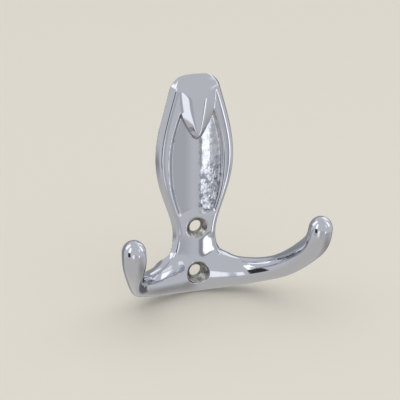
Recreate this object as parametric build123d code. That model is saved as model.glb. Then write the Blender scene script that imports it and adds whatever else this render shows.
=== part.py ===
from build123d import *
import os
from math import radians, tan

# Double-arm furniture hook, cast in one piece in zinc and chrome plated.
# X runs to the right, -Y out of the wall and +Z up. The wall is the plane y = 0,
# and the origin lies on it, midway between the two screw holes.

# Back plate: a leaf that narrows to a waist round the screw holes. Its side is straight
# runs that meet at the corners named here, with an arc on each.
plate_thickness = 3.5
wall_draft = 18.5
edge_round = 0.9
plate_top = 61.8
top_corner_half_width = 7.4
top_corner_radius = 6.0
leaf_corner_half_width = 15.45
leaf_corner_height = 31.8
leaf_radius = 39.0
waist_half_width = 7.55
waist_corner_height = 7.4
waist_radius = 22.0
crotch_height = -1.8
crotch_radius = 5.0
flare_half_width = 13.6
flare_height = -4.9
flare_radius = 2.6
plate_foot = -10.5
plate_foot_half_width = 9.5
plate_foot_radius = 2.6

# Screw holes, countersunk for flat heads
hole_spacing = 16.0
hole_diameter = 4.4
sink_diameter = 7.5
sink_angle = 90.0

# Sunk panel in the front of the leaf, with a crowned floor
panel_depth = 1.5
panel_draft = 33.0
panel_crown_radius = 45.0
panel_top = 49.4
panel_top_half_width = 5.9
panel_corner_half_width = 11.7
panel_corner_height = 31.4
panel_side_radius = 46.0
panel_foot = 12.7
panel_foot_half_width = 6.4

# Ramp from the panel floor up to the boss round the upper hole
ramp_low_radius = 7.4
ramp_high_radius = 5.4

# Raised tongue on the front, which rolls back to the wall at the top. Its foot is a V
# with a rounded point, and two ridges set in from the foot bound its flat front.
tongue_rise = 1.25
tongue_lip = 0.35
tongue_half_width = 6.8
tongue_knee_half_width = 5.9
tongue_knee = 48.8
tongue_point = 37.3
tongue_point_radius = 2.2
ridge_half_width = 3.8
ridge_knee_half_width = 2.4
ridge_knee = 49.0
ridge_point = 35.6
ridge_point_radius = 1.2
tongue_round = 0.4
top_roll_radius = 5.2

# Bow of two arms. Each station from the middle to a tip gives x, y, z,
# the radius across the arm and the radius up the arm.
bow_stations = [
    (0.0, -0.2, -10.1, 3.8, 5.9),
    (6.2, -1.4, -9.75, 4.1, 5.65),
    (11.4, -3.1, -9.3, 4.6, 5.3),
    (16.4, -5.8, -8.7, 4.1, 4.7),
    (21.0, -10.0, -7.2, 3.4, 4.1),
    (25.1, -15.6, -4.4, 2.6, 4.0),
    (28.4, -22.0, 0.3, 2.6, 4.1),
    (30.7, -27.9, 5.5, 3.3, 4.2),
    (32.1, -32.1, 10.8, 4.0, 4.2),
    (32.5, -32.9, 14.3, 4.0, 4.0),
]
tip_height = 4.4


def at_depth(depth):
    """Plane parallel to the wall, this far out of it."""
    return Plane.XZ.offset(depth)


def mirrored_face(right_side):
    """Face between a right-hand edge chain and its mirror image."""
    return make_face([*right_side, *[edge.mirror(Plane.YZ) for edge in right_side]])


def leaf_outline():
    """Outline at the wall, with an arc on each corner of its right side and their mirrors."""
    right_side = [
        (top_corner_half_width, plate_top, top_corner_radius),
        (leaf_corner_half_width, leaf_corner_height, leaf_radius),
        (waist_half_width, waist_corner_height, waist_radius),
        (waist_half_width, crotch_height, crotch_radius),
        (flare_half_width, flare_height, flare_radius),
        (plate_foot_half_width, plate_foot, plate_foot_radius),
    ]
    left_side = [(-x, z, radius) for x, z, radius in reversed(right_side)]
    corners = [(x, z) for x, z, _ in right_side + left_side]
    radii = [radius for _, _, radius in right_side + left_side]
    return make_face(FilletPolyline(*corners, radius=radii, close=True))


def leaf_block(thickness):
    """Leaf this thick, with drafted sides."""
    block = extrude(Plane.XZ * leaf_outline(), thickness)
    sides = block.faces().sort_by(Axis.Y)[1:-1]
    return draft(sides, Plane.XZ, wall_draft)


def back_plate():
    """Plate with a rounded front edge."""
    plate = leaf_block(plate_thickness)
    front = plate.faces().sort_by(Axis.Y)[0]
    return fillet(front.edges(), edge_round)


def panel_outline():
    side = FilletPolyline(
        (panel_top_half_width, panel_top),
        (panel_corner_half_width, panel_corner_height),
        (panel_foot_half_width, panel_foot),
        radius=panel_side_radius,
    )
    top = Line((0.0, panel_top), side @ 0)
    foot = Line(side @ 1, (0.0, panel_foot))
    return mirrored_face([top, *side.edges(), foot])


def panel_cutter():
    """Air in front of the panel: drafted walls, a crowned floor and the ramp at the foot."""
    sunk = extrude(at_depth(plate_thickness) * panel_outline(), -panel_depth, taper=panel_draft)
    crown_axis = panel_crown_radius - plate_thickness + panel_depth / 2
    crown = Pos(0, crown_axis, plate_top / 2) * Cylinder(panel_crown_radius, plate_top)
    ramp = Cone(ramp_low_radius, ramp_high_radius, panel_depth)
    boss = at_depth(plate_thickness - panel_depth / 2) * Pos(0, hole_spacing / 2) * ramp
    return sunk - crown - boss


def tongue_outline(half_width, knee_half_width, knee, point, point_radius):
    corners = [
        (-half_width, plate_top),
        (half_width, plate_top),
        (knee_half_width, knee),
        (0.0, point),
        (-knee_half_width, knee),
    ]
    outline = make_face(Polyline(*corners, close=True))
    return fillet(outline.vertices().sort_by(Axis.Y)[0], point_radius)


def tongue():
    """Tongue with an upright lip at its foot and facets from the lip to the ridges."""
    foot = tongue_outline(
        tongue_half_width, tongue_knee_half_width, tongue_knee, tongue_point, tongue_point_radius
    )
    front = tongue_outline(
        ridge_half_width, ridge_knee_half_width, ridge_knee, ridge_point, ridge_point_radius
    )
    lip_depth = plate_thickness - tongue_lip
    block = extrude(Plane.XZ * foot, lip_depth)
    facets = loft(
        [at_depth(lip_depth) * foot, at_depth(plate_thickness + tongue_rise) * front], ruled=True
    )
    block += facets
    ridges = block.faces().sort_by(Axis.Y)[0].edges()
    return fillet(ridges, tongue_round) & leaf_block(plate_thickness + tongue_rise)


def top_roll():
    """Envelope of the leaf, rounded where its front rolls back to the wall."""
    depth = plate_thickness + tongue_rise
    height = plate_top - plate_foot
    middle = (plate_top + plate_foot) / 2
    block = Pos(0, 0, middle) * Box(2 * leaf_corner_half_width, 2 * depth, height)
    corner = block.edges().filter_by(Axis.X).group_by(Axis.Z)[-1].sort_by(Axis.Y)[0]
    return fillet(corner, top_roll_radius)


def bow_planes():
    """Planes square to the line of the bow, from its middle to the right tip."""
    centres = [Vector(*station[:3]) for station in bow_stations]
    before_middle = Vector(-centres[1].X, centres[1].Y, centres[1].Z)
    behind = [before_middle, *centres[:-1]]
    ahead = [*centres[1:], centres[-1]]
    planes = []
    for centre, start, end in zip(centres, behind, ahead):
        along = end - start
        planes.append(Plane(centre, x_dir=along.cross(Vector(0, 0, 1)), z_dir=along))
    return planes


def tips():
    """Dome on the end of each arm, a little taller than a half ball."""
    tip_radius = bow_stations[-1][-1]
    side = EllipticalCenterArc((0, 0), tip_radius, tip_height, 0, arc_size=90)
    core = Polyline((0, tip_height), (0, 0), (tip_radius, 0))
    dome = revolve(Plane.XZ * make_face([side, *core.edges()]), Axis.Z)
    right_end = bow_planes()[-1]
    mirrored = [
        Vector(-way.X, way.Y, way.Z) for way in (right_end.origin, right_end.x_dir, right_end.z_dir)
    ]
    return right_end * dome, Plane(*mirrored) * dome


def bow():
    """Both arms in one sweep of elliptical sections, domed at the tips, flat at the wall."""
    right = [
        plane * Ellipse(across, up)
        for plane, (_, _, _, across, up) in zip(bow_planes(), bow_stations)
    ]
    left = [section.mirror(Plane.YZ) for section in right[:0:-1]]
    arms = loft([*left, *right])
    for tip in tips():
        arms += tip
    span = 2 * (bow_stations[-1][0] + tip_height)
    in_front_of_wall = Pos(0, -span / 2, 0) * Box(span, span, span)
    return arms & in_front_of_wall


def screw_holes():
    """Straight holes with countersinks that start at the plate's front."""
    slope = tan(radians(sink_angle / 2))
    hole_radius = hole_diameter / 2
    mouth_radius = sink_diameter / 2 + plate_thickness * slope
    sink_depth = (mouth_radius - hole_radius) / slope
    sink = Cone(hole_radius, mouth_radius, sink_depth)
    mouth = at_depth(2 * plate_thickness - sink_depth / 2)
    straight = Cylinder(hole_radius, 2 * (plate_thickness + sink_diameter))
    centres = [(0, hole_spacing / 2), (0, -hole_spacing / 2)]
    cutters = [Plane.XZ * Pos(*centre) * straight for centre in centres]
    cutters += [mouth * Pos(*centre) * sink for centre in centres]
    return cutters


def cast_hook():
    leaf = back_plate() - panel_cutter() + tongue()
    leaf = leaf & top_roll()
    casting = leaf + bow()
    for cutter in screw_holes():
        casting -= cutter
    return casting


os.makedirs("parts", exist_ok=True)
hook = cast_hook()
export_step(hook, "parts/cast_hook.step")
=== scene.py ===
import math

import bpy
import numpy as np
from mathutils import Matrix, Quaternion, Vector


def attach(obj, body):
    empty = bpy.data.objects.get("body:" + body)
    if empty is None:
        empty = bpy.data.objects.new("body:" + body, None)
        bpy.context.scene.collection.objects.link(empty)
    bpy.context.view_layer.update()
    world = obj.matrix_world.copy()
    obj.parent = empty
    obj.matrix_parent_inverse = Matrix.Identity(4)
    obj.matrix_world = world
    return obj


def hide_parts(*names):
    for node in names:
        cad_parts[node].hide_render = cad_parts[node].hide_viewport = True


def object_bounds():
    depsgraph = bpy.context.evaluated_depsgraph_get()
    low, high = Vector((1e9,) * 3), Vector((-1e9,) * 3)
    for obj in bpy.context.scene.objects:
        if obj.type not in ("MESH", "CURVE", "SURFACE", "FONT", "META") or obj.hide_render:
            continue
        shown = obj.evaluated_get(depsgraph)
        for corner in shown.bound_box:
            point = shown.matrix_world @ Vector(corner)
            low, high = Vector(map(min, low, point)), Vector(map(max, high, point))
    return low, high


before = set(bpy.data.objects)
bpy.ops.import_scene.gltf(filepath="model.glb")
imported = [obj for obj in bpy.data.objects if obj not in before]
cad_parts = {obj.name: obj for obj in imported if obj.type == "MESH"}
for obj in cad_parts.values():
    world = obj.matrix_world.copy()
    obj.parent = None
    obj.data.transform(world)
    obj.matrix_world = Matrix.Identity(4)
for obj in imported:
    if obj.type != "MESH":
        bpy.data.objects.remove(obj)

cad_low, cad_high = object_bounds()

# The view. The hook is seen from a little to its left and from above, through a long
# lens, so that its upright lines stay almost parallel.
MM = 0.001
VIEW_LEFT = math.radians(20.2)
VIEW_DOWN = math.radians(20.8)
VIEW_ROLL = math.radians(0.3)
VIEW_DISTANCE = 1000.0 * MM
VIEW_TARGET = Vector((2.2, 0.0, 16.5)) * MM
LENS_MM = 268.0
SENSOR_MM = 36.0

to_camera = Vector((
    -math.sin(VIEW_LEFT) * math.cos(VIEW_DOWN),
    -math.cos(VIEW_LEFT) * math.cos(VIEW_DOWN),
    math.sin(VIEW_DOWN),
))
camera_data = bpy.data.cameras.new("long_lens")
camera_data.lens = LENS_MM
camera_data.sensor_width = SENSOR_MM
camera = bpy.data.objects.new("long_lens", camera_data)
bpy.context.scene.collection.objects.link(camera)
camera.location = VIEW_TARGET + to_camera * VIEW_DISTANCE
camera.rotation_mode = "QUATERNION"
camera.rotation_quaternion = to_camera.to_track_quat("Z", "Y")
camera.rotation_quaternion @= Quaternion((0, 0, 1), VIEW_ROLL)
bpy.context.scene.camera = camera

# Cast hook. One zinc die casting, ground and polished before plating, so its edges are
# all softly rounded and its arms flow out of the plate. Here its surface is one formula,
# and a fine mesh is drawn onto it. Lengths are in millimetres, and depth is out of the wall.
# A blend is the width over which two faces run into each other, and a rounded edge of the
# plate's front spreads over EDGE_SPREAD times its radius.
PLATE_THICKNESS = 3.5
PLATE_TOP = 61.8
PLATE_FOOT = -9.0
FOOT_BLEND = 1.0
WALL_DRAFT = math.radians(18.5)
EDGE_ROUND = 0.9
EDGE_SPREAD = 1.8
BACK_EDGE_BLEND = 0.35
TOP_CORNER_RADIUS = 5.0
LEAF_HALF_WIDTHS = [
    (-9.0, 10.0), (-6.5, 12.0), (-4.6, 12.3), (-3.0, 10.8), (-1.4, 9.2), (0.4, 8.3),
    (2.5, 7.85), (4.5, 7.65), (9.6, 8.2), (16.0, 10.25), (22.5, 12.35), (29.0, 13.6),
    (33.0, 13.8), (42.0, 12.8), (53.0, 10.0), (61.8, 7.5),
]

# The waist's front falls away a little towards its sides
WAIST_CROWN = 0.009
WAIST_CROWN_REACH = 9.0
WAIST_CROWN_HEIGHT = 0.5
WAIST_CROWN_END = 6.0
WAIST_CROWN_FADE = 3.5

# Sunk panel, with a crowned floor and a ramp up to the boss round the upper hole
PANEL_DEPTH = 1.5
PANEL_DRAFT = math.radians(33.0)
PANEL_CROWN_RADIUS = 45.0
PANEL_CROWN_REACH = 20.0
PANEL_TOP = 49.4
PANEL_FOOT = 12.7
PANEL_HALF_WIDTHS = [
    (12.7, 6.3), (17.0, 7.75), (22.0, 9.0), (27.0, 9.55), (31.5, 9.7), (36.0, 9.45),
    (42.0, 8.35), (49.4, 5.9),
]
PANEL_CORNER_BLEND = 1.2
PANEL_WALL_BLEND = 1.0
PANEL_RIM_BLEND = 0.9
RAMP_LOW_RADIUS = 7.4
RAMP_HIGH_RADIUS = 5.4
RAMP_BLEND = 0.8

# Raised tongue, whose facets rise from its foot to its ridges, and the roll at the top
TONGUE_RISE = 1.25
TONGUE_LIP = 0.1
TONGUE_LIP_STEEPNESS = 4.0
TONGUE_FOOT = [(6.8, 62.2), (5.9, 48.8), (0.0, 37.3)]
TONGUE_RIDGE = [(3.8, 62.2), (2.4, 49.0), (0.0, 35.6)]
TONGUE_FOOT_BLUNT = 7.2
TONGUE_RIDGE_BLUNT = 5.9
TONGUE_KNEE_BLEND = 2.0
TONGUE_RIDGE_BLEND = 0.25
TONGUE_PANEL_BLEND = 0.3
NARROWEST_FACET = 0.5
TOP_ROLL_RADIUS = 9.5
TOP_ROLL_END = 62.8
TOP_ROLL_BLEND = 0.4
TOP_CROWN_RADIUS = 38.0
TOP_EDGE_START = 53.0
TOP_EDGE_GAIN = 0.6

# Bow of two arms. Each station from the middle to a tip gives x, y, z, the radius across
# the arm and the radius up the arm.
BOW_STATIONS = [
    (0.0, -0.2, -10.1, 3.8, 5.9),
    (6.2, -1.4, -9.75, 4.1, 5.65),
    (11.4, -3.1, -9.3, 4.6, 5.3),
    (16.4, -5.8, -8.7, 4.1, 4.7),
    (21.0, -10.0, -7.2, 3.4, 4.1),
    (25.1, -15.6, -4.4, 2.6, 4.0),
    (28.4, -22.0, 0.3, 2.6, 4.1),
    (30.7, -27.9, 5.5, 3.3, 4.2),
    (32.1, -32.1, 10.8, 4.0, 4.2),
    (32.5, -32.9, 14.3, 4.0, 4.0),
]
TIP_HEIGHT = 4.4
CHEVRON_BLEND = 4.0
CHEVRON_HALF_WIDTH = 3.0
CROTCH_BLEND = 6.0
CROTCH_HALF_WIDTH = 7.5

# Countersunk screw holes. Where the bow stands above the plate's front, a countersink
# widens by only a small share of its height over it.
HOLE_SPACING = 16.0
HOLE_RADIUS = 2.2
SINK_RADIUS = 3.75
SINK_FLARE = 0.1
SINK_REACH = 2 * PLATE_THICKNESS
HOLE_EDGE_BLEND = 0.35

# How finely the surface is drawn
MERGE_DISTANCE = 0.002
MESH_STEP = 0.3
ARM_SAMPLES = 50
NEAREST_ROUNDS = 4
SLOPE_STEP = 0.001
LEAST_SLOPE = 0.05
LONGEST_MOVE = 0.6
FIRST_ROUNDS = 7
EVEN_ROUNDS = 6
EVEN_SHARE = 0.5
LAST_ROUNDS = 2


def spline(knots, values):
    """Smooth curve through the values at these knots: gives the value and slope at a place."""
    knots = np.array(knots, float)
    values = np.array(values, float).reshape(len(knots), -1)
    gaps = np.diff(knots)
    system = np.eye(len(knots))
    right = np.zeros(values.shape)
    for i in range(1, len(knots) - 1):
        system[i, i - 1:i + 2] = gaps[i - 1], 2 * (gaps[i - 1] + gaps[i]), gaps[i]
        right[i] = 6 * (values[i + 1] - values[i]) / gaps[i]
        right[i] -= 6 * (values[i] - values[i - 1]) / gaps[i - 1]
    bends = np.linalg.solve(system, right)

    def at(place):
        place = np.clip(place, knots[0], knots[-1])
        i = np.clip(np.searchsorted(knots, place) - 1, 0, len(gaps) - 1)
        gap = gaps[i][:, None]
        low = (knots[i + 1] - place)[:, None] / gap
        high = 1 - low
        value = low * values[i] + high * values[i + 1]
        value += ((low**3 - low) * bends[i] + (high**3 - high) * bends[i + 1]) * gap**2 / 6
        slope = (values[i + 1] - values[i]) / gap
        slope += ((1 - 3 * low**2) * bends[i] + (3 * high**2 - 1) * bends[i + 1]) * gap / 6
        return value, slope

    return at


def ease(value, start, end):
    """Goes smoothly from 0 at the start to 1 at the end."""
    part = np.clip((value - start) / (end - start), 0, 1)
    return part**2 * (3 - 2 * part)


def soft_max(a, b, width):
    """The larger of two, with the change-over rounded across this width."""
    near = np.maximum(width - np.abs(a - b), 0) / width
    return np.maximum(a, b) + near**3 * width / 6


def soft_min(a, b, width):
    """The smaller of two, with the change-over rounded across this width."""
    return -soft_max(-a, -b, width)


def round_corner(a, b, radius):
    """Distance outside two faces that meet in an arc of this radius."""
    both = np.hypot(np.maximum(a + radius, 0), np.maximum(b + radius, 0))
    return np.minimum(np.maximum(a, b), -radius) + both


leaf_half_width = spline(*zip(*LEAF_HALF_WIDTHS))
panel_half_width = spline(*zip(*PANEL_HALF_WIDTHS))


def outside_curve(across, z, half_width):
    """Distance outside an upright outline given by its half-width at each height."""
    width, slope = half_width(z)
    return (across - width[:, 0]) / np.sqrt(1 + slope[:, 0]**2)


def outside_panel(across, z):
    """Distance outside the sunk panel's outline."""
    side = outside_curve(across, z, panel_half_width)
    ends = np.maximum(z - PANEL_TOP, PANEL_FOOT - z)
    return soft_max(side, ends, PANEL_CORNER_BLEND)


def inside_tongue(across, z, corners, blunt):
    """Distance inside a tongue-shaped outline whose point at the foot is rounded."""
    top, knee, point = corners
    gaps = []
    for (x0, z0), (x1, z1), side in ((top, knee, 1), (knee, point, 1), (knee, point, -1)):
        length = math.hypot(x1 - x0, z1 - z0)
        gaps.append(((x0 - side * across) * (z0 - z1) + (z - z0) * (x0 - x1)) / length)
    return soft_min(soft_min(gaps[1], gaps[2], blunt), gaps[0], TONGUE_KNEE_BLEND)


def tongue_height(across, z):
    """Depth of the tongue's surface, from its lip up the facets to its flat front."""
    inside = inside_tongue(across, z, TONGUE_FOOT, TONGUE_FOOT_BLUNT)
    beyond = -inside_tongue(across, z, TONGUE_RIDGE, TONGUE_RIDGE_BLUNT)
    part = inside / np.maximum(inside + beyond, NARROWEST_FACET)
    part = soft_min(part, 1.0, TONGUE_RIDGE_BLEND)
    lip = PLATE_THICKNESS - TONGUE_LIP
    facets = lip + (TONGUE_LIP + TONGUE_RISE) * part
    return np.where(inside > 0, facets, lip + TONGUE_LIP_STEEPNESS * inside)


def front_height(across, z):
    """Depth of the front: the rims, the sunk panel with its crown and ramp, the tongue."""
    crown = np.sqrt(PANEL_CROWN_RADIUS**2 - np.minimum(across, PANEL_CROWN_REACH)**2)
    crown += PLATE_THICKNESS - PANEL_DEPTH / 2 - PANEL_CROWN_RADIUS
    from_hole = np.hypot(across, z - HOLE_SPACING / 2)
    ramp_slope = PANEL_DEPTH / (RAMP_LOW_RADIUS - RAMP_HIGH_RADIUS)
    ramp = PLATE_THICKNESS - (from_hole - RAMP_HIGH_RADIUS) * ramp_slope
    wall = PLATE_THICKNESS + outside_panel(across, z) / math.tan(PANEL_DRAFT)
    from_waist = np.abs(z - WAIST_CROWN_HEIGHT)
    waist = ease(from_waist, WAIST_CROWN_END, WAIST_CROWN_END - WAIST_CROWN_FADE)
    rim = PLATE_THICKNESS - WAIST_CROWN * np.minimum(across, WAIST_CROWN_REACH)**2 * waist
    sunk = soft_max(soft_max(crown, ramp, RAMP_BLEND), wall, PANEL_WALL_BLEND)
    front = soft_min(rim, sunk, PANEL_RIM_BLEND)
    return soft_max(front, tongue_height(across, z), TONGUE_PANEL_BLEND)


def outside_plate(across, depth, z):
    """Distance outside the plate, whose front rolls back to the wall at the top."""
    flank = outside_curve(across, z, leaf_half_width)
    flank = flank * math.cos(WALL_DRAFT) + depth * math.sin(WALL_DRAFT)
    side = round_corner(flank, z - PLATE_TOP, TOP_CORNER_RADIUS)
    near_top = np.clip((z - TOP_EDGE_START) / (PLATE_TOP - TOP_EDGE_START), 0, 1)
    edge = EDGE_ROUND + TOP_EDGE_GAIN * near_top**2
    plate = soft_max(side, depth - front_height(across, z), EDGE_SPREAD * edge)
    roll_end = TOP_ROLL_END - across**2 / (2 * TOP_CROWN_RADIUS)
    roll = round_corner(depth - PLATE_THICKNESS - TONGUE_RISE, z - roll_end, TOP_ROLL_RADIUS)
    plate = soft_max(plate, roll, TOP_ROLL_BLEND)
    return soft_max(plate, PLATE_FOOT - z, FOOT_BLEND)


stations = np.array(BOW_STATIONS)
mirrored = stations[:0:-1] * [-1, 1, 1, 1, 1]
bow_points = np.vstack([mirrored, stations])
bow_gaps = np.linalg.norm(np.diff(bow_points[:, :3], axis=0), axis=1)
bow_places = np.concatenate([[0], np.cumsum(bow_gaps)]) - bow_gaps.sum() / 2
bow_line = spline(bow_places, bow_points)
bow_end = bow_places[-1]


def nearest_places(points):
    """Place along the right arm's line that lies nearest to each point."""
    samples = np.linspace(0, bow_end, ARM_SAMPLES)
    sample_points = bow_line(samples)[0][:, :3]
    apart = (points**2).sum(axis=1)[:, None] - 2 * points @ sample_points.T
    place = samples[(apart + (sample_points**2).sum(axis=1)).argmin(axis=1)]
    for _ in range(NEAREST_ROUNDS):
        here, along = bow_line(place)
        step = ((points - here[:, :3]) * along[:, :3]).sum(axis=1)
        place = np.clip(place + step / (along[:, :3]**2).sum(axis=1), 0, bow_end)
    return place


def outside_bow(points, place):
    """Distance outside the right arm, whose section here is an ellipse."""
    here, along = bow_line(place)
    along = along[:, :3] / np.linalg.norm(along[:, :3], axis=1)[:, None]
    level = np.cross(along, [0, 0, 1])
    level /= np.linalg.norm(level, axis=1)[:, None]
    upright = np.cross(level, along)
    apart = points - here[:, :3]
    across, up = here[:, 3], here[:, 4]
    a = (apart * level).sum(axis=1) / across
    b = (apart * upright).sum(axis=1) / up
    c = (apart * along).sum(axis=1) / TIP_HEIGHT
    return (np.sqrt(a**2 + b**2 + c**2) - 1) * np.sqrt(across * up)


def right_half(points):
    """The points, with those of the left half mirrored to the right."""
    folded = points.copy()
    folded[:, 0] = np.abs(folded[:, 0])
    return folded


def outside_hook(points, place=None):
    """How far points lie outside the casting, and less than 0 inside it."""
    folded = right_half(points)
    across, depth, z = folded[:, 0], -folded[:, 1], folded[:, 2]
    if place is None:
        place = nearest_places(folded)
    spread = ease(across, CHEVRON_HALF_WIDTH, CROTCH_HALF_WIDTH)
    blend = CHEVRON_BLEND + (CROTCH_BLEND - CHEVRON_BLEND) * spread
    hook = soft_min(outside_plate(across, depth, z), outside_bow(folded, place), blend)
    hook = soft_max(hook, -depth, BACK_EDGE_BLEND)
    above = depth - PLATE_THICKNESS
    mouth = SINK_RADIUS + np.minimum(above, SINK_FLARE * above)
    for centre in (HOLE_SPACING / 2, -HOLE_SPACING / 2):
        from_hole = np.hypot(across, z - centre)
        sink = np.minimum((mouth - from_hole) / math.sqrt(2), SINK_REACH - depth)
        hook = soft_max(hook, np.maximum(sink, HOLE_RADIUS - from_hole), HOLE_EDGE_BLEND)
    return hook


def slope_of(points, place=None):
    """How far each point is outside the casting, and the direction and rate of that."""
    start = outside_hook(points, place)
    slope = np.empty(points.shape)
    for axis in range(3):
        moved = points.copy()
        moved[:, axis] += SLOPE_STEP
        slope[:, axis] = (outside_hook(moved, place) - start) / SLOPE_STEP
    return start, slope


def onto_surface(points, rounds):
    """Moves the points along the slope until they lie on the casting's surface."""
    for _ in range(rounds):
        outside, slope = slope_of(points, nearest_places(right_half(points)))
        push = outside / np.maximum((slope**2).sum(axis=1), LEAST_SLOPE)
        points = points - slope * np.clip(push, -LONGEST_MOVE, LONGEST_MOVE)[:, None]
    return points


def remeshed_copy(source, name, step):
    """Even mesh of a solid, with its loose triangles merged first."""
    piece = bpy.data.objects.new(name, source.data.copy())
    bpy.context.scene.collection.objects.link(piece)
    merge = piece.modifiers.new("merge", "WELD")
    merge.merge_threshold = MERGE_DISTANCE * MM
    remesh = piece.modifiers.new("remesh", "REMESH")
    remesh.mode = "VOXEL"
    remesh.voxel_size = step
    evaluated = piece.evaluated_get(bpy.context.evaluated_depsgraph_get())
    even_mesh = bpy.data.meshes.new_from_object(evaluated)
    piece.modifiers.clear()
    piece.data = even_mesh
    return piece


hook = remeshed_copy(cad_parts["cast_hook"], "polished_hook", MESH_STEP * MM)
mesh = hook.data
points = np.empty(len(mesh.vertices) * 3)
mesh.vertices.foreach_get("co", points)
pairs = np.empty(len(mesh.edges) * 2, int)
mesh.edges.foreach_get("vertices", pairs)
pairs = pairs.reshape(-1, 2)
neighbours = np.bincount(pairs.ravel())


def to_neighbours(points):
    """Way from each point to the middle of its neighbours along the mesh's edges."""
    total = np.zeros(points.shape)
    for axis in range(3):
        total[:, axis] += np.bincount(pairs[:, 0], points[pairs[:, 1], axis], len(points))
        total[:, axis] += np.bincount(pairs[:, 1], points[pairs[:, 0], axis], len(points))
    return total / neighbours[:, None] - points


points = onto_surface(points.reshape(-1, 3) / MM, FIRST_ROUNDS)
for _ in range(EVEN_ROUNDS):
    points = onto_surface(points + EVEN_SHARE * to_neighbours(points), 1)
points = onto_surface(points, LAST_ROUNDS)
outward = slope_of(points)[1]
outward /= np.linalg.norm(outward, axis=1)[:, None]
mesh.vertices.foreach_set("co", (points * MM).ravel())
mesh.update()
mesh.shade_smooth()
mesh.normals_split_custom_set_from_vertices(outward)

# Where the polish could not reach: how hollow the surface is, the countersinks, and the
# right half of the panel's floor, where the casting's skin shows, less so towards the top.
# Each is kept as an attribute for the plating. The hollow mark also carries painted shade in
# the creases, and the panel's mark carries painted dark reflections that mottle its colour.
HOLLOW_START = 0.03
HOLLOW_FULL = 0.16
SINK_MARK_OUTSIDE = 0.1
SINK_MARK_INSIDE = 0.3
PEEL_EDGE_FADE = 1.2
PEEL_SIDE_FADE = 1.8
PEEL_LOW_DEPTH = 0.5
PEEL_FULL_DEPTH = 1.5
PEEL_TONGUE_START = -0.2
PEEL_TONGUE_FULL = 0.4
PEEL_STRONG_HEIGHT = 27.0
PEEL_WEAK_HEIGHT = 32.0
PEEL_WEAK = 0.35

hollow = (to_neighbours(points) * outward).sum(axis=1) / MESH_STEP
across, depth, z = np.abs(points[:, 0]), -points[:, 1], points[:, 2]
from_hole = np.hypot(across, np.abs(z) - HOLE_SPACING / 2)
below_tongue = -inside_tongue(across, z, TONGUE_FOOT, TONGUE_FOOT_BLUNT)
peel_and_painted_reflection = ease(-outside_panel(across, z), 0.0, PEEL_EDGE_FADE)
peel_and_painted_reflection *= ease(depth, PEEL_LOW_DEPTH, PEEL_FULL_DEPTH)
peel_and_painted_reflection *= ease(below_tongue, PEEL_TONGUE_START, PEEL_TONGUE_FULL)
peel_and_painted_reflection *= ease(points[:, 0], 0.0, PEEL_SIDE_FADE)
peel_and_painted_reflection *= PEEL_WEAK + (1 - PEEL_WEAK) * ease(z, PEEL_WEAK_HEIGHT, PEEL_STRONG_HEIGHT)
surface_marks = {
    "hollow": ease(hollow, HOLLOW_START, HOLLOW_FULL),
    "sink": ease(from_hole, SINK_RADIUS + SINK_MARK_OUTSIDE, SINK_RADIUS - SINK_MARK_INSIDE),
    "peel_and_painted_reflection": peel_and_painted_reflection,
}
for name, values in surface_marks.items():
    mark = mesh.attributes.new(name, "FLOAT", "POINT")
    mark.data.foreach_set("value", values)

# Bright chrome over polished zinc: mirror-like, cool grey. It is duller in the hollows, where
# painted shade also darkens it, and brown-grey in the countersinks, and its panel keeps the
# casting's orange peel, over which painted dark reflections mottle its colour.
CHROME = "#C7C9CF"
# Painted shade: the dark grey that the creases are darkened to
PAINTED_HOLLOW_SHADE = "#6A6E76"
HOLLOW_SHADE_SHARE = 0.75
SINK_DARK = "#807D76"
SINK_PALE = "#B4B2AB"
STAIN_SIZE_MM = 1.2
# Painted reflection: the dark grey of the mottled patches on the panel's floor
PAINTED_DARK_REFLECTION = "#6F747B"
PAINTED_REFLECTION_SHARE = 0.9
PAINTED_REFLECTION_SIZE_MM = 1.6
POLISHED_ROUGHNESS = 0.055
HOLLOW_ROUGHNESS = 0.2
SINK_ROUGHNESS = 0.22
PEEL_ROUGHNESS = 0.08


def linear(hex_colour):
    """An sRGB hex colour as linear light."""
    parts = [int(hex_colour[i:i + 2], 16) / 255 for i in (1, 3, 5)]
    curve = [c / 12.92 if c <= 0.04045 else ((c + 0.055) / 1.055)**2.4 for c in parts]
    return (*curve, 1.0)


def add(tree, kind, inputs=None, **settings):
    """Adds a node with its settings, sets or links its inputs, and gives its outputs."""
    node = tree.nodes.new(kind)
    for name, value in settings.items():
        setattr(node, name, value)
    for key, value in (inputs or {}).items():
        if isinstance(value, bpy.types.NodeSocket):
            tree.links.new(value, node.inputs[key])
        else:
            node.inputs[key].default_value = value
    return node.outputs


chrome = bpy.data.materials.new("chrome_plate")
chrome.use_nodes = True
tree = chrome.node_tree
shader = tree.nodes["Principled BSDF"]
shader.inputs["Metallic"].default_value = 1
where = add(tree, "ShaderNodeTexCoord")["Object"]
hollows = add(tree, "ShaderNodeAttribute", attribute_name="hollow")["Fac"]
sinks = add(tree, "ShaderNodeAttribute", attribute_name="sink")["Fac"]
peel_and_painted_reflection_mask = add(tree, "ShaderNodeAttribute", attribute_name="peel_and_painted_reflection")["Fac"]

# Colour: each Mix node takes its share as input 0 and its two colours as inputs 6 and 7
stain = add(
    tree, "ShaderNodeTexNoise",
    {"Vector": where, "Scale": 1 / (STAIN_SIZE_MM * MM), "Detail": 4.0},
)["Fac"]
stain = add(
    tree, "ShaderNodeMapRange", {"Value": stain, "From Min": 0.35, "From Max": 0.65},
    interpolation_type="SMOOTHSTEP",
)["Result"]
sink_colours = {0: stain, 6: linear(SINK_DARK), 7: linear(SINK_PALE)}
sink_colour = add(tree, "ShaderNodeMix", sink_colours, data_type="RGBA")[2]
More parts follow.
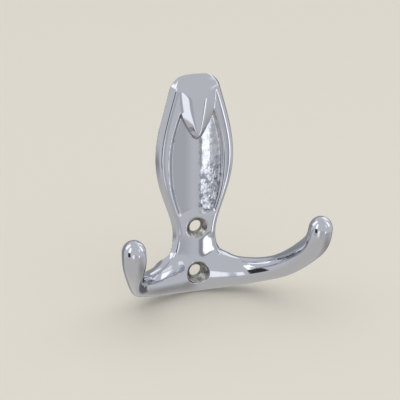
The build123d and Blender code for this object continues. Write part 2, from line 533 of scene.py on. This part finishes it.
# Painted shade: the colour darkens in the hollows
hollow_shade = add(tree, "ShaderNodeMath", {0: hollows, 1: HOLLOW_SHADE_SHARE}, operation="MULTIPLY")[0]
chrome_colours = {0: hollow_shade, 6: linear(CHROME), 7: linear(PAINTED_HOLLOW_SHADE)}
colour = add(tree, "ShaderNodeMix", chrome_colours, data_type="RGBA")[2]
colour = add(tree, "ShaderNodeMix", {0: sinks, 6: colour, 7: sink_colour}, data_type="RGBA")[2]
# Painted reflection: dark grey patches mottle the colour of the panel's floor, standing in for dark
# reflections there
painted_reflection = add(
    tree, "ShaderNodeTexNoise",
    {"Vector": where, "Scale": 1 / (PAINTED_REFLECTION_SIZE_MM * MM), "Detail": 3.0},
)["Fac"]
painted_reflection = add(
    tree, "ShaderNodeMapRange",
    {"Value": painted_reflection, "From Min": 0.4, "From Max": 0.62, "To Max": PAINTED_REFLECTION_SHARE},
    interpolation_type="SMOOTHSTEP",
)["Result"]
painted_reflection = add(tree, "ShaderNodeMath", {0: painted_reflection, 1: peel_and_painted_reflection_mask}, operation="MULTIPLY")[0]
painted_reflection_colours = {0: painted_reflection, 6: colour, 7: linear(PAINTED_DARK_REFLECTION)}
colour = add(tree, "ShaderNodeMix", painted_reflection_colours, data_type="RGBA")[2]
tree.links.new(colour, shader.inputs["Base Color"])

rough = POLISHED_ROUGHNESS
for mark, more in (
    (hollows, HOLLOW_ROUGHNESS), (sinks, SINK_ROUGHNESS), (peel_and_painted_reflection_mask, PEEL_ROUGHNESS),
):
    inputs = {0: mark, 1: more, 2: rough}
    rough = add(tree, "ShaderNodeMath", inputs, operation="MULTIPLY_ADD")[0]
tree.links.new(rough, shader.inputs["Roughness"])

# Unevenness: the size and depth of its grains in millimetres, their detail, and where they
# are. The first is the long wave of the hand polish, all over.
height = 0.0
for size_mm, depth_mm, detail, mark in (
    (14.0, 0.02, 0.0, 1.0), (1.1, 0.09, 3.0, peel_and_painted_reflection_mask), (0.7, 0.03, 3.0, sinks),
):
    inputs = {"Vector": where, "Scale": 1 / (size_mm * MM), "Detail": detail}
    grain = add(tree, "ShaderNodeTexNoise", inputs)["Fac"]
    grain = add(tree, "ShaderNodeMath", {0: grain, 1: depth_mm}, operation="MULTIPLY")[0]
    inputs = {0: grain, 1: mark, 2: height}
    height = add(tree, "ShaderNodeMath", inputs, operation="MULTIPLY_ADD")[0]
uneven = add(tree, "ShaderNodeBump", {"Height": height, "Distance": MM})["Normal"]
tree.links.new(uneven, shader.inputs["Normal"])
mesh.materials.clear()
mesh.materials.append(chrome)
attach(hook, "root")
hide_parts("cast_hook")

# Floor: pale matt paper, wide enough to fill the view. The metal mirrors the light tent
# below it and not the paper, so the paper adds no light to it.
PAPER = "#DDD8CC"
PAPER_HALF_SIZE = 3.0
SQUARE = [(-1, -1), (1, -1), (1, 1), (-1, 1)]


def studio_sheet(name, half_width, half_height, material):
    """Flat rectangle that belongs to the studio and not to the hook."""
    sheet_mesh = bpy.data.meshes.new(name)
    places = [(x * half_width, y * half_height, 0) for x, y in SQUARE]
    sheet_mesh.from_pydata(places, [], [(0, 1, 2, 3)])
    sheet_mesh.materials.append(material)
    sheet = bpy.data.objects.new(name, sheet_mesh)
    bpy.context.scene.collection.objects.link(sheet)
    return sheet


paper = bpy.data.materials.new("pale_paper")
paper.use_nodes = True
paper_shader = paper.node_tree.nodes["Principled BSDF"]
paper_shader.inputs["Base Color"].default_value = linear(PAPER)
paper_shader.inputs["Roughness"].default_value = 1
paper_shader.inputs["Specular IOR Level"].default_value = 0
floor = studio_sheet("paper_floor", PAPER_HALF_SIZE, PAPER_HALF_SIZE, paper)
floor.location.z = cad_low.z
floor.visible_glossy = False

# Light tent: white cloth all round, a little darker and warmer below, and darkest low down
# on the right. Each fade is between two heights or two places to the right, from -1 to 1.
CLOTH_HIGH = 0.76
CLOTH_LOW = 0.66
CLOTH_LOW_RIGHT = 0.38
CLOTH_TINT = (0.985, 1.0, 1.03, 1.0)
LOW_TINT = (1.04, 1.0, 0.955, 1.0)
world = bpy.data.worlds.new("light_tent")
world.use_nodes = True
tree = world.node_tree
way = add(tree, "ShaderNodeTexCoord")["Generated"]
to_right, _, upward = add(tree, "ShaderNodeSeparateXYZ", {"Vector": way})
level = add(
    tree, "ShaderNodeMapRange",
    {"Value": upward, "From Min": -0.6, "From Max": -0.3, "To Min": CLOTH_LOW, "To Max": CLOTH_HIGH},
    interpolation_type="SMOOTHSTEP",
)["Result"]
low_down = add(
    tree, "ShaderNodeMapRange", {"Value": upward, "From Min": -0.3, "From Max": -0.75},
    interpolation_type="SMOOTHSTEP",
)["Result"]
darker = add(
    tree, "ShaderNodeMapRange",
    {"Value": to_right, "From Min": 0.1, "From Max": 0.8, "To Max": CLOTH_LOW - CLOTH_LOW_RIGHT},
    interpolation_type="SMOOTHSTEP",
)["Result"]
darker = add(tree, "ShaderNodeMath", {0: darker, 1: low_down}, operation="MULTIPLY")[0]
level = add(tree, "ShaderNodeMath", {0: level, 1: darker}, operation="SUBTRACT")[0]
tint = add(
    tree, "ShaderNodeMapRange", {"Value": upward, "From Min": -0.62, "From Max": -0.42},
    interpolation_type="SMOOTHSTEP",
)["Result"]
tint = add(tree, "ShaderNodeMix", {0: tint, 6: LOW_TINT, 7: CLOTH_TINT}, data_type="RGBA")[2]
tree.links.new(tint, tree.nodes["Background"].inputs["Color"])
tree.links.new(level, tree.nodes["Background"].inputs["Strength"])
bpy.context.scene.world = world

# Cards and soft boxes round the hook, which only the metal mirrors. Each is given in degrees
# by its direction from the hook (0 is straight out of the wall, + is right), how high up it
# is, its width, height and soft edge, and then by its distance and its brightness.
CARD_CENTRE = Vector((0.0, -10.0, 20.0)) * MM
CARDS = [
    ("wall_behind", 180, -5, 114, 70, 20, 1.2, 0.36),
    ("left_box", -112, 40, 28, 44, 6, 1.0, 1.6),
    ("left_tall_box", -62, 28, 19, 38, 4, 1.0, 1.8),
    ("dark_band", -62, -8, 24, 32, 4, 1.0, 0.05),
    ("right_box", 127, 34, 34, 44, 8, 1.0, 1.35),
    ("high_box", 82, 52, 24, 14, 6, 1.0, 1.15),
    ("right_tall_box", 74, 24, 19, 36, 5, 1.0, 1.7),
    ("small_box", 40, 24, 14, 20, 6, 1.0, 1.2),
    ("dark_stand", 136, -24, 26, 30, 8, 1.0, 0.14),
    ("white_card", -28, -18, 16, 24, 6, 0.236, 1.4),
    ("grey_card", -4, -21, 32, 26, 10, 1.0, 0.6),
    ("dark_edge", 23.2, -21, 3, 14, 1, 1.0, 0.38),
    ("white_edge", 28.8, -21, 7, 14, 2, 1.0, 2.0),
]


def card_glow(name, reach, soft, brightness):
    """Even light that fades out along the card's edges."""
    glow = bpy.data.materials.new(name)
    glow.use_nodes = True
    tree = glow.node_tree
    tree.nodes.remove(tree.nodes["Principled BSDF"])
    place = add(tree, "ShaderNodeTexCoord")["Object"]
    sideways, upwards, _ = add(tree, "ShaderNodeSeparateXYZ", {"Vector": place})
    inside = 1.0
    for away, length in zip((sideways, upwards), reach):
        away = add(tree, "ShaderNodeMath", {0: away}, operation="ABSOLUTE")[0]
        part = add(
            tree, "ShaderNodeMapRange",
            {"Value": away, "From Min": length, "From Max": length - soft},
            interpolation_type="SMOOTHSTEP",
        )["Result"]
        inside = add(tree, "ShaderNodeMath", {0: part, 1: inside}, operation="MULTIPLY")[0]
    clear = add(tree, "ShaderNodeBsdfTransparent")[0]
    light = add(tree, "ShaderNodeEmission", {"Color": CLOTH_TINT, "Strength": brightness})[0]
    mixed = add(tree, "ShaderNodeMixShader", {0: inside, 1: clear, 2: light})[0]
    tree.links.new(mixed, tree.nodes["Material Output"].inputs["Surface"])
    return glow


def stand_card(name, azimuth, elevation, width, height, edge, distance, brightness):
    """Card that faces the hook and is seen only in its reflections."""
    azimuth, elevation = math.radians(azimuth), math.radians(elevation)
    way = Vector((
        math.sin(azimuth) * math.cos(elevation),
        -math.cos(azimuth) * math.cos(elevation),
        math.sin(elevation),
    ))
    soft = distance * math.tan(math.radians(edge))
    reach = [distance * math.tan(math.radians(angle / 2)) + soft / 2 for angle in (width, height)]
    card = studio_sheet(name, *reach, card_glow(name, reach, soft, brightness))
    card.location = CARD_CENTRE + way * distance
    card.rotation_mode = "QUATERNION"
    card.rotation_quaternion = way.to_track_quat("Z", "Y")
    card.visible_camera = False
    card.visible_diffuse = False
    card.visible_shadow = False


for card_values in CARDS:
    stand_card(*card_values)

# Lamp: one large soft overhead light for the paper, outside the metal's reflections.
LAMP_SIZE = 2.5
LAMP_WATTS = 9.4
LAMP_TINT = (1.0, 0.98, 0.94)
LAMP_PLACE = (0, -0.3, 1.4)
lamp_data = bpy.data.lights.new("overhead", "AREA")
lamp_data.shape = "DISK"
lamp_data.size = LAMP_SIZE
lamp_data.energy = LAMP_WATTS
lamp_data.color = LAMP_TINT
lamp = bpy.data.objects.new("overhead", lamp_data)
bpy.context.scene.collection.objects.link(lamp)
lamp.location = LAMP_PLACE
lamp.visible_glossy = False
lamp.visible_camera = False

bpy.context.scene.view_settings.view_transform = "Standard"
